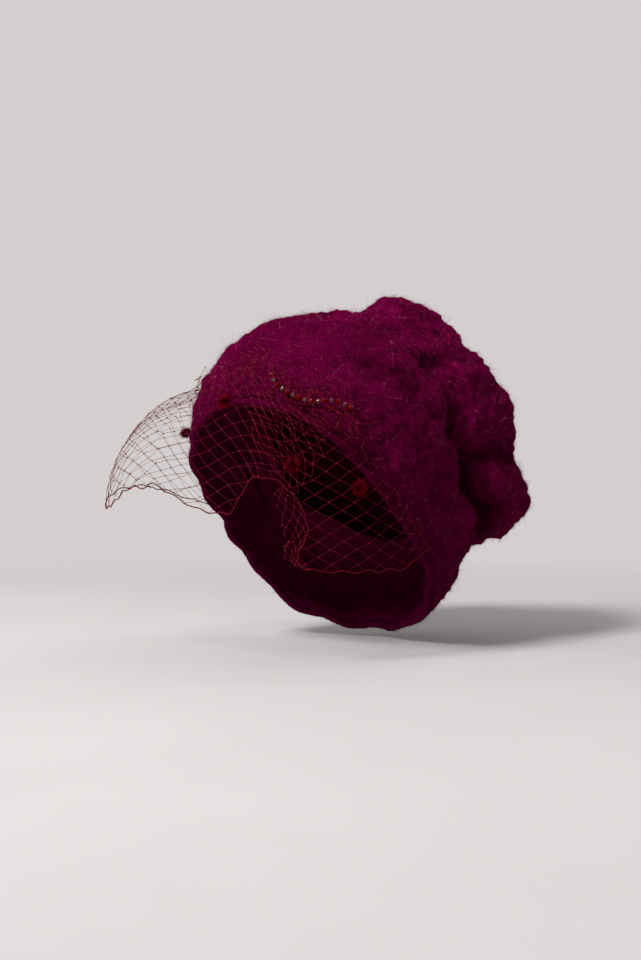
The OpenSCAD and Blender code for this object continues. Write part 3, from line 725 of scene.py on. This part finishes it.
def cap_side(p, z):
    k = np.sqrt(np.maximum(1 - ((z / CAP_TOP - 0.135) / 0.865) ** 2, 0))
    return np.stack([k * CAP_W / 2 * sind(p), CAP_L * (-0.04 - k / 2 * cosd(p)), z + 0 * p], -1)


def tack_at(p):
    c = cap_side(p, tack_z(p))
    return on_knit(c, 2.2 + 3 * smooth((-p - 15) / 40))


def border_r(p):
    a = mix(R_EAR, R_FRONT, np.maximum(cosd(p), 0) ** 4.5)
    b = mix(R_FRONT, R_WING, np.maximum(sind(90 * p / WING), 0) ** 1.5)
    c = mix(R_EAR + 4, R_WING, cosd(90 * (WING - p) / (WING - FAR)))
    return np.where(p >= 0, a, np.where(p > WING, b, c))


def border_z(p):
    far = Z_FAR + 7 * cosd(360 * (p + 27) / 42)
    return (mix(Z_NEAR, far, smooth((26 - p) / 8)) + 6 * np.exp(-((p - 12) / 7) ** 2)
            + 12 * smooth((p - 60) / 16))


def around(p, r, z):
    """Point at an angle p from the brow, r from the head's axis and at a height z."""
    return np.stack([r * sind(p), -r * cosd(p), z], -1)


def drape(a, b, t, out, shares=(.8, .8, .2), belly=7):
    """Point at a share t of the curve from the tacks at a, out and down to the edge at b."""
    m = mix(a, b, np.array(shares)) + out * belly
    t = t[..., None]
    return a * (1 - t) ** 2 + m * 2 * t * (1 - t) + b * t * t


def flutes(p, t, depth):
    return depth * sind(p * 11) * t * smooth((-FAR - abs(p)) / 12)


def veil_at(p, t):
    """Point of the CAD solid's veil at an angle p and t of its drop; the dots sit on it."""
    p, t = np.broadcast_arrays(np.asarray(p, float), np.asarray(t, float))
    out = around(p, 1, 0 * p)
    b = around(p, border_r(p), border_z(p))
    return drape(tack_at(p), b, t, out) + out * flutes(p, t, 2.2)[..., None]


# the net's lowest row, angles and heights; from brow to cheek it runs on below the real edge
BROW_EDGE = [(-25.0, -5.5), (-21.3, -3.5), (-17.5, -7.5), (-13.5, -13), (-8.5, -18.5), (-3, -20.5), (1, -21),
             (4, -23), (9, -29), (14, -39), (19, -49), (23, -54), (27, -55.5), (31, -55)]
LOW = [(p, float(border_z(np.array(p)))) for p in np.arange(FAR, -27.0, 4)] + BROW_EDGE
LOW = np.array(LOW + [(p, float(border_z(np.array(p)))) for p in np.arange(35.0, NEAR + 0.1, 4.1)])
# the edge as it hangs: over the nose it rises in an arch, then falls steeply beside it
ARCH = [(3.6, -18), (6.3, -10), (9.5, -1), (14.3, 1), (19, -4), (22.4, -10), (24.6, -18), (25.4, -28),
        (24, -37), (22.4, -44), (22.8, -50), (25, -54), (28, -55.3)]
EDGE = np.array([tuple(q) for q in LOW if q[0] <= 1] + ARCH + [tuple(q) for q in LOW if q[0] >= 31])


def spline(rows, n):
    """A smooth curve through rows of numbers, n points in all."""
    k = len(rows)
    x = np.linspace(0, k - 1, n)
    i = np.clip(np.floor(x).astype(int), 0, k - 2)
    a, b, c, d = (rows[np.clip(i + m, 0, k - 1)] for m in (-1, 0, 1, 2))
    return between(a, b, c, d, (x - i)[:, None])


LOW_N, EDGE_N, SCALLOP = 1600, 1200, 2.2
LOW_FINE = spline(LOW, LOW_N)
LOW_FINE = LOW_FINE[np.argsort(LOW_FINE[:, 0], kind="stable")]
EDGE_FINE = spline(EDGE, EDGE_N)
# the corded edge runs in scallops, one to a full diamond
hop = np.diff(EDGE_FINE, axis=0, prepend=EDGE_FINE[:1])
sideways = np.abs(np.radians(hop[:, 0]) * border_r(EDGE_FINE[:, 0]))
hop_l = np.hypot(sideways, hop[:, 1])
EDGE_FINE[:, 1] += (SCALLOP * sideways / np.maximum(hop_l, 1e-6)
                    * np.abs((np.cumsum(hop_l) / (2 * CELL_W)) % 1 * 2 - 1))
RUN = run_of(around(LOW_FINE[:, 0], border_r(LOW_FINE[:, 0]), LOW_FINE[:, 1]))
STRIP = RUN[-1]


def phi_of(s):
    """Angle at a share s of the strip's length."""
    return np.interp(np.clip(np.asarray(s, float), 0, 1) * STRIP, RUN, LOW_FINE[:, 0])


def hang_at(p, t):
    """Point of the hanging net at an angle p and t of its drop, 0 at the tacks and 1 in the lowest row."""
    p, t = np.broadcast_arrays(np.asarray(p, float), np.asarray(t, float))
    out = around(p, 1, 0 * p)
    b = around(p, border_r(p), np.interp(p, LOW_FINE[:, 0], LOW_FINE[:, 1]))
    q = drape(tack_at(p), b, t, out) + out * flutes(p, t, 1.4)[..., None]
    return q + push(q, 34, 8, 61) * (t * (1 - 0.6 * t))[..., None] * 1.3


def lattice(nc, nr, place, seed, jitter, keep=None, cut=None):
    """Diamond net: knots at (row, column) of one parity and the strands between neighbours.
    keep tells which knots are there; cut ends a strand on the edge. Bare knots are left out."""
    rng = np.random.default_rng(seed)
    index, at = {}, []
    for k in range(nr + 1):
        for j in range(nc + 1):
            if (k + j) % 2 == 0:
                index[(k, j)] = len(at)
                at.append((j / nc, k / nr))
    at = np.array(at)
    pos = place(at[:, 0], at[:, 1])
    pos = pos + rng.normal(0, jitter, pos.shape)
    there = np.ones(len(at), bool) if keep is None else keep(at[:, 0], at[:, 1], pos)
    ends, used = [], set()
    for (k, j), i in index.items():
        for d in (-1, 1):
            m = index.get((k + 1, j + d))
            if m is None:
                continue
            if there[i] and there[m]:
                if np.linalg.norm(pos[i] - pos[m]) < LONGEST:
                    ends.append((pos[i], pos[m]))
                    used |= {i, m}
            elif cut is not None and there[i] != there[m]:
                a, b = (pos[i], pos[m]) if there[i] else (pos[m], pos[i])
                e = cut(a, b)
                if e is not None:
                    ends.append((a, e))
    return pos[sorted(used)], np.array(ends)


def strands(ends, seed, bow):
    """Each strand as four points, bowed a little to one side."""
    rng = np.random.default_rng(seed)
    a, b = ends[:, 0], ends[:, 1]
    off = rng.normal(0, bow, a.shape)
    t = np.linspace(0, 1, 4)[None, :, None]
    return a[:, None] * (1 - t) + b[:, None] * t + off[:, None] * 4 * t * (1 - t)


def knot_blobs(pos, radius, seed):
    """A small lumpy knot at each crossing: an octahedron cut once, pushed about."""
    rng = np.random.default_rng(seed)
    vs = [(1, 0, 0), (-1, 0, 0), (0, 1, 0), (0, -1, 0), (0, 0, 1), (0, 0, -1)]
    f = [(0, 2, 4), (2, 1, 4), (1, 3, 4), (3, 0, 4), (2, 0, 5), (1, 2, 5), (3, 1, 5), (0, 3, 5)]
    fs, mids = [], {}

    def m(a, b):
        key = (min(a, b), max(a, b))
        if key not in mids:
            mids[key] = len(vs)
            p = np.array(vs[a]) + np.array(vs[b])
            vs.append(tuple(p / np.linalg.norm(p)))
        return mids[key]

    for a, b, c in f:
        ab, bc, ca = m(a, b), m(b, c), m(c, a)
        fs += [(a, ab, ca), (b, bc, ab), (c, ca, bc), (ab, bc, ca)]
    vs, fs = np.array(vs), np.array(fs)
    n = len(pos)
    shape = vs[None] * (1 + rng.normal(0, 0.16, (n, len(vs), 1))) * rng.uniform(0.75, 1.2, (n, 1, 1)) * radius
    faces = (fs[None] + (np.arange(n) * len(vs))[:, None, None]).reshape(-1, 3)
    return (pos[:, None] + shape).reshape(-1, 3), faces


def bends(obj):
    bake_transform(obj)


def net_piece(name, nc, nr, place, seed, jitter, keep=None, cut=None, moving=True, bow=0.08):
    """One layer of netting: its strands and its knots."""
    pos, ends = lattice(nc, nr, place, seed, jitter, keep, cut)
    threads = tubes(strands(ends, seed + 1, bow), STRAND_R, 4)
    a = new_mesh(name, *threads, CAP, "netting", M_NET, ride=not moving)
    knots = knot_blobs(pos, KNOT_R, seed + 2)
    b = new_mesh(name + "_knots", *knots, CAP, "netting", M_KNOT, ride=not moving)
    if moving:
        bends(a)
        bends(b)
    return a


# the net is one strip of even cells: it hangs below the tacks and stands as a ruffle above them
SN, TN = 500, 60
SG = np.linspace(0, 1, SN)
TG = np.linspace(0, 1, TN)
HG = hang_at(phi_of(SG)[:, None], TG[None, :])
HL = np.concatenate([np.zeros((SN, 1)), np.cumsum(np.linalg.norm(np.diff(HG, axis=1), axis=-1), 1)], 1)
DROP = HL[:, -1]


def azimuth(p):
    return np.degrees(np.arctan2(p[..., 0], -p[..., 1]))


def on_hang(phi, z):
    """Point of the hanging net at an angle and a height."""
    out = []
    for angle, height in zip(phi, z):
        c = hang_at(np.full(TN, angle), TG)
        out.append([np.interp(-height, -c[:, 2], c[:, k]) for k in range(3)])
    return np.array(out)


def above_edge(phi, z):
    """Whether a point lies within the edge, in the plane of angle and height."""
    e = np.concatenate([EDGE_FINE, [(99, EDGE_FINE[-1, 1]), (99, 200), (-99, 200), (-99, EDGE_FINE[0, 1])]])
    a, b = e, np.roll(e, -1, 0)
    inside = np.zeros(phi.shape, bool)
    for (x0, y0), (x1, y1) in zip(a, b):
        if y0 != y1:
            hit = ((y0 > z) != (y1 > z)) & (phi < (x1 - x0) * (z - y0) / (y1 - y0) + x0)
            inside ^= hit
    return inside


def cut_edge(a, b):
    """Where the strand from a inside to b outside meets the edge."""
    t = np.linspace(0, 1, 24)
    q = a + (b - a) * t[:, None]
    ok = above_edge(azimuth(q), q[:, 2] + 0.5)
    k = int(np.argmin(ok))
    return q[k] if 0 < k else None


def ruff(phi, e, shift=0.0):
    """Point of the ruffle at angle phi, e mm of net above the tacks: gathered, crumpled and curling."""
    flat = np.stack([phi * 1.65, e, 0 * e + 9 * shift], -1)
    k = smooth(e / 9)
    q = phi + (4.2 * waves(flat, 17, 10, 86) + 2.4 * waves(flat, 9, 10, 89)) * k
    z = tack_z(q) + e * 0.72 + (3.6 * waves(flat, 16, 10, 87) + 1.6 * waves(flat, 8, 10, 90)) * k
    base = cap_side(q, np.minimum(z, CAP_TOP - 5))
    return on_knit(base, 1.9 + 0.3 * shift + k * (2.0 + 2.2 * waves(flat, 12, 10, 81) + 0.02 * e))


def strip(s, w):
    """Point of the strip at a share s of its length and w mm up from its lowest row."""
    s, w = np.broadcast_arrays(np.asarray(s, float), np.asarray(w, float))
    drop = np.interp(s, SG, DROP)
    row = np.clip(np.round(s * (SN - 1)).astype(int), 0, SN - 1)
    up = np.clip(drop - w, 0, None) / np.maximum(drop, 1e-6)
    t = [np.interp(share_up * HL[r, -1], HL[r], TG) for share_up, r in zip(up.ravel(), row.ravel())]
    phi = phi_of(s)
    below = hang_at(phi, np.array(t).reshape(s.shape))
    return np.where((w > drop)[..., None], ruff(phi, np.maximum(w - drop, 0)), below)


NC = int(round(STRIP / CELL_W / 2)) * 2
NR = 34
RUFFLE_TOP = 28.0


def ruffle_top(phi):
    crumple = 0.80 + 0.20 * np.sin(0.35 * phi)
    return (RUFFLE_TOP * smooth((phi + 72) / 22) * smooth((64 - phi) / 12) * crumple
            + 4.0 * np.sin(0.9 * phi))


def in_strip(s, q, pos):
    w = q * NR * CELL_H
    top = np.interp(s, SG, DROP) + np.maximum(ruffle_top(phi_of(s)), 0.5)
    return (w <= top) & above_edge(azimuth(pos), pos[:, 2] + 0.5)


net = net_piece("veil_net", NC, NR, lambda s, q: strip(s, q * NR * CELL_H), 71, 0.22, in_strip, cut_edge)
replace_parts(net, "veil_near_side", "veil_near_wing", "veil_nose_fold", "veil_far_wing", "veil_far_side",
            "veil_ruffle")

# border cord: three plies along the edge, dipping between the strands that reach it
PER_CELL, DIP, PLY_R, PLY_OUT, PLY_TURN = 8, 0.35, 0.23, 0.18, 0.8
edge_p = on_hang(EDGE_FINE[:, 0], EDGE_FINE[:, 1])
edge_run = run_of(edge_p)
nb = int(edge_run[-1] / CELL_W) * PER_CELL + 1
bp = at_run(np.linspace(0, edge_run[-1], nb), edge_run, edge_p)
bt = unit(np.gradient(bp, axis=0))
bn = unit(np.stack([bp[:, 0], bp[:, 1], np.zeros(nb)], -1))
bd = unit(np.cross(bt, bn))
bd = bd * np.where(bd[:, 2:] > 0, -1.0, 1.0)
bp = bp + bd * (0.15 + DIP * np.abs(np.sin(np.pi * np.arange(nb) / PER_CELL)))[:, None]
tw = np.arange(nb) * PLY_TURN
bs = np.cross(bt, bd)
ply = [bp + PLY_OUT * circle(bd, bs, tw + k) for k in (0, 2.1, 4.2)]
v, f = tubes(np.array(ply), PLY_R, 6)
border = new_mesh("veil_border_cord", v, f, VEIL, "border_cord", M_BORDER, ride=False)
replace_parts(border, "border_near", "border_front", "border_far")
bends(border)


# a second layer, its cells on the slant, where the net is folded over between brow and nose;
# its two sides stand at these angles, at the tacks and at the edge
FOLD_TOP, FOLD_LOW, SLANT = (7.0, 39.0), (9.0, 24.0), (0.84, 0.54)


def doubled(s, t):
    s, t = np.broadcast_arrays(np.asarray(s, float), np.asarray(t, float))
    p = mix(mix(FOLD_TOP[0], FOLD_LOW[0], t), mix(FOLD_TOP[1], FOLD_LOW[1], t), s)
    edge_z = np.interp(p, *np.array(ARCH[1:6]).T)
    top = tack_at(mix(*FOLD_TOP, s))
    a = top + unit(top - CENTRE) * 0.9
    b = around(p, border_r(p) + 1.5, edge_z + 1)
    belly = (9 + 2 * np.sin(7 * s))[..., None]
    q = drape(a, b, t, around(p, 1, 0 * p), (.75, .75, .25), belly)
    return q + push(q, 20, 8, 95) * 1.6 * (t * (1 - t) * 4)[..., None]


def slanted(s, q):
    """Shares turned inside the fold."""
    x, y = s - 0.5, q - 0.5
    return 0.5 + 1.35 * (SLANT[0] * x - SLANT[1] * y), 0.5 + 1.35 * (SLANT[1] * x + SLANT[0] * y)


def in_fold(s, q, pos):
    a, b = slanted(s, q)
    return (abs(a - .5) < .5) & (abs(b - .5) < .49)


net_piece("veil_fold_net", 12, 26, lambda s, q: doubled(*slanted(s, q)), 97, 0.5, in_fold)

# beside the nose the net is turned under along its edge, between these points of EDGE
TURN_FROM, TURN_TO, TURN_W = 28, 35.3, 15.5
edge_no = np.arange(EDGE_N) * (len(EDGE) - 1) / (EDGE_N - 1)
TURN = EDGE_FINE[(edge_no > TURN_FROM) & (edge_no < TURN_TO)][::8]
TURN_P = on_hang(TURN[:, 0], TURN[:, 1])


def turned(s, q):
    e = at_run(q * (len(TURN_P) - 1), np.arange(len(TURN_P)), TURN_P)
    wide = TURN_W * np.sin(np.pi * q ** 0.62)
    soft = push(e + 20 * s[..., None], 14, 8, 141)
    deep = 5 * np.sin(np.pi * s)
    return (e - np.array(RIGHT) * (wide * s)[..., None] - np.array(TOWARDS) * deep[..., None]
            + soft * (s * np.sin(np.pi * q))[..., None] * 1.4)


net_piece("veil_turned_net", 6, 16, turned, 141, 0.25)


# loose gathered net on the knit over the near brow
def gathered(s, q):
    return ruff(mix(-14, 58, s) + 5 * np.sin(9 * q), 3 + 26 * q, 1.7)


net_piece("veil_gather_net", 26, 9, gathered, 131, 0.9, lambda s, q, pos: q < 0.75 + 0.25 * np.sin(11 * s),
          moving=False, bow=0.7)

# loose curls of the gathered net over the knit
CURLS, CURL_POINTS, KNOT_EVERY = 22, 25, 8
rng = np.random.default_rng(151)
curls, curl_knots = [], []
for i in range(CURLS):
    phi = -12 + 70 * (i + rng.random()) / CURLS
    c = cap_side(np.array(phi), tack_z(np.array(phi)) + rng.uniform(7, 23))
    out = unit(c - CENTRE)
    h = unit(np.cross([0, 0, 1.0], out))
    g = np.cross(out, h)
    a = rng.uniform(0, 6.28) + np.linspace(0, rng.uniform(2.6, 5.2), CURL_POINTS)
    r = rng.uniform(3.5, 9.5) * (1 + 0.25 * np.sin(2 * a + i))
    curl = c + circle(h, g, a) * r[:, None]
    curl = on_knit(curl, 2.4 + 2.2 * np.sin(a * 0.7 + i) ** 2)
    curls.append(curl)
    curl_knots += list(curl[::KNOT_EVERY])
new_mesh("veil_curls", *tubes(np.array(curls), STRAND_R, 4), CAP, "netting", M_NET)
new_mesh("veil_curl_knots", *knot_blobs(np.array(curl_knots), KNOT_R, 152), CAP, "netting", M_KNOT)


# chenille dots: a pile of fibres round a solid core
DOT_R, DOT_FIBRES, CORE_R, CORE_ROWS, CORE_SIDES = 5.2, 2600, 2.7, 14, 24
def dot(name, node, phi, t, seed, moving):
    p = veil_at(phi, t)
    e = unit(veil_at(phi + 0.5, t) - veil_at(phi - 0.5, t))
    s = unit(veil_at(phi, t + 0.02) - veil_at(phi, t - 0.02))
    out = -np.cross(s, e)
    if out @ (p - CENTRE) < 0:
        out = -out
    c = p + out * 2.0
    rng = np.random.default_rng(seed)
    n = DOT_FIBRES
    d = unit(rng.normal(size=(n, 3)))
    d = unit(d - out * np.minimum(d @ out, 0)[:, None] * 1.1 + out * 0.05)
    lengths = (DOT_R * (rng.uniform(0.55, 1.0, n) + 0.35 * rng.random(n) ** 6) * (1 - 0.25 * np.abs(d @ out))
               * (1 + 0.10 * waves(d, 1.3, 12, seed)))
    bend = unit(rng.normal(size=(n, 3))) * 0.22
    v, f = ribbons(c + d * 0.6, d, bend, lengths - 0.6, rng.uniform(0.20, 0.34, n), seed + 1, 4, 0.85)
    pile = new_mesh(name, v, f, VEIL, "chenille", M_CHENILLE, ride=False)
    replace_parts(pile, node)
    g = unit(np.array([[math.sin(a) * math.cos(b), math.sin(a) * math.sin(b), math.cos(a)]
                       for a in np.linspace(0.02, math.pi - 0.02, CORE_ROWS)
                       for b in np.linspace(0, 2 * math.pi, CORE_SIDES + 1)[:-1]]))
    radius = CORE_R + 0.5 * waves(g * 3, 2.0, 20, seed + 2)
    g = c + g * radius[:, None] * (1 - 0.3 * np.abs(g @ out))[:, None]
    core = new_mesh(name + "_core", g, grid_quads(CORE_ROWS, CORE_SIDES), VEIL, "chenille", M_CORE,
                    ride=False)
    for o in (pile, core):
        if moving:
            bends(o)
        else:
            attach(o, CAP)


dot("chenille_dot_near", "dot_near", 44.0, 0.55, 101, True)
dot("chenille_dot_nose", "dot_nose", 21.5, 0.65, 103, True)
dot("chenille_dot_brow", "dot_brow", -2.5, 0.26, 105, True)
dot("chenille_dot_far", "dot_far", -78.0, 0.38, 107, False)

# -------------------- beads
# the string's route over the knit, given point by point
MARKS = np.array([[19, -96, 68], [20, -99, 62], [25, -100, 57], [31, -99, 53], [38, -98, 50], [44, -96, 48],
                  [49, -91, 47], [54, -87, 48], [59, -81, 46], [63, -78, 43], [69, -69, 42]], float)
RED_D, CLEAR_D, PITCH, RED_LEN, CLEAR_LEN = 4.0, 3.0, 4.1, 3.2, 2.4
BEAD_GAP, FIRST, THREAD_R, PATH_STEPS = 2.5, 1.2, 0.24, 10
stops = on_knit(MARKS, BEAD_GAP + RED_D / 2)
last = len(stops) - 1
path = np.array([between(stops[max(i - 1, 0)], stops[i], stops[i + 1], stops[min(i + 2, last)], t)
                 for i in range(last) for t in np.arange(PATH_STEPS) / PATH_STEPS])
bead_run = run_of(path)


def along(s):
    return at_run(s, bead_run, path)


BEAD_SIDES = 10
# each ring of corners: its place along the bead, its width and its turn, in shares
BEAD_RINGS = ((-1, .5, 0), (-.45, .93, .5), (0, 1.0, 0), (.45, .93, .5), (1, .5, 0))


def facets(start):
    """Triangles of a bead; start is the number of its first corner, and its ends' middles come last."""
    n, faces = BEAD_SIDES, []
    for ring in range(len(BEAD_RINGS) - 1):
        for k in range(n):
            a0, a1 = start + ring * n + k, start + ring * n + (k + 1) % n
            b0, b1 = a0 + n, a1 + n
            faces += [(a0, a1, b0), (a1, b1, b0)] if ring % 2 == 0 else [(a0, a1, b1), (a0, b1, b0)]
    end = start + (len(BEAD_RINGS) - 1) * n
    for k in range(n):
        faces += [(start + (k + 1) % n, start + k, end + n), (end + k, end + (k + 1) % n, end + n + 1)]
    return faces


count = int(math.floor((bead_run[-1] - 2 * PITCH) / PITCH))
beads = {"red": ([], []), "clear": ([], [])}
bores = []
rng = np.random.default_rng(111)
for i in range(count):
    kind, size, length = ("clear", CLEAR_D, CLEAR_LEN) if i % 2 else ("red", RED_D, RED_LEN)
    half, r, s = length / 2, size / 2, (i + FIRST) * PITCH
    a, b = along(s - half), along(s + half)
    m, d = (a + b) / 2, unit(b - a)
    bores += [m - d * half, m + d * half]
    h = unit(np.cross(d, [0.3, 0.2, 1.0]))
    g = np.cross(d, h)
    spin = rng.uniform(0, 1)
    corners, faces = beads[kind]
    faces += facets(len(corners))
    for place, wide, shift in BEAD_RINGS:
        for k in range(BEAD_SIDES):
            an = 2 * math.pi * (k + shift) / BEAD_SIDES + spin
            corners.append(m + d * half * place + (h * math.cos(an) + g * math.sin(an)) * r * wide)
    corners += [m - d * half, m + d * half]
for key, node, material, slot in (("red", "red_beads", M_RED, "red_bead"),
                                  ("clear", "crystal_beads", M_CLEAR, "crystal_bead")):
    corners, faces = beads[key]
    o = new_mesh("beads_" + key, np.array(corners), np.array(faces), CAP, slot, material, flat=True)
    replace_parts(o, node)
threaded = np.array([along(1.3)] + bores + [along((count + FIRST) * PITCH - 0.2)])
v, f = tubes(threaded[None], THREAD_R, 6)
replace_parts(new_mesh("bead_sewing_thread", v, f, CAP, "thread", M_THREAD), "bead_thread")
# a knot of four wraps at each end of the string
wraps = []
an = np.linspace(0, 2 * np.pi, 21)[:-1]
for c in (along(0), along((count + FIRST) * PITCH + 1.2)):
    out = unit(c - CENTRE)
    h = unit(np.cross(out, [0.2, 0.4, 1.0]))
    g = np.cross(out, h)
    for k in range(4):
        tilt = k * math.pi / 4
        ax = h * math.cos(tilt) + g * math.sin(tilt)
        wraps.append(c + circle(ax, out, an) * 0.82)
v, f = tubes(np.array(wraps), THREAD_R, 5, closed=True)
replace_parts(new_mesh("bead_end_knots", v, f, CAP, "thread", M_THREAD), "bead_knots")

# tacking stitches over the gathered net: a cross of two threads at each
STITCH_L, STITCH_H, STITCH_R = 1.6, 2.2, 0.26
stitches = []
t = np.linspace(-1, 1, 9)[:, None]
for phi in range(-56, 57, 14):
    p = tack_at(np.array(float(phi)))
    h = unit(tack_at(np.array(phi + 1.0)) - p)
    g = np.cross(unit(p - CENTRE), h)
    for side in (-1, 1):
        d = unit(p + (h * side * 0.8 + g) * STITCH_L * t - CENTRE)
        stitches.append(CENTRE + d * (reach(d) + 0.3 + STITCH_H * (1 - np.abs(t[:, 0]) ** 2))[:, None])
v, f = tubes(np.array(stitches), STITCH_R, 5)
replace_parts(new_mesh("tacking_stitches", v, f, CAP, "thread", M_THREAD), "veil_tacks")
